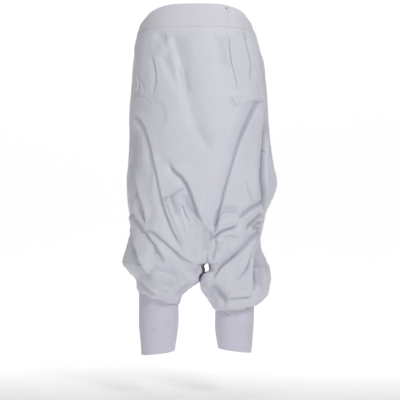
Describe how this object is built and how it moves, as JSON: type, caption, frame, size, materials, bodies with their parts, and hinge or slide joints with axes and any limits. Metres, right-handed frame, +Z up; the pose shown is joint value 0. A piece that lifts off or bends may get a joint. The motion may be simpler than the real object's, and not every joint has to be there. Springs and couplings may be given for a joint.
{
  "type": "harem pants",
  "caption": "Full-cut drop-crotch cloth trousers standing open as worn: lapped waistband, loose draped body and legs rolled over close cuffs.",
  "frame": {"origin": "middle of the waist opening, level with its sides", "axes": "+Z up, from the cuffs towards the waist; the front of the garment faces -Y; the placket is at +X"},
  "size_m": [0.3882, 0.2594, 0.8615],
  "materials": {
    "cloth": "matte plain weave",
    "band_cloth": "matte plain weave, faced",
    "cuff_cloth": "matte, smooth and close fitting",
    "stud": "satin"
  },
  "bodies": {
    "root": {"front": "cloth", "back": "cloth", "waistband": "band_cloth", "cuff_left": "cuff_cloth", "cuff_right": "cuff_cloth", "waist_stud": "stud"}
  },
  "joints": []
}
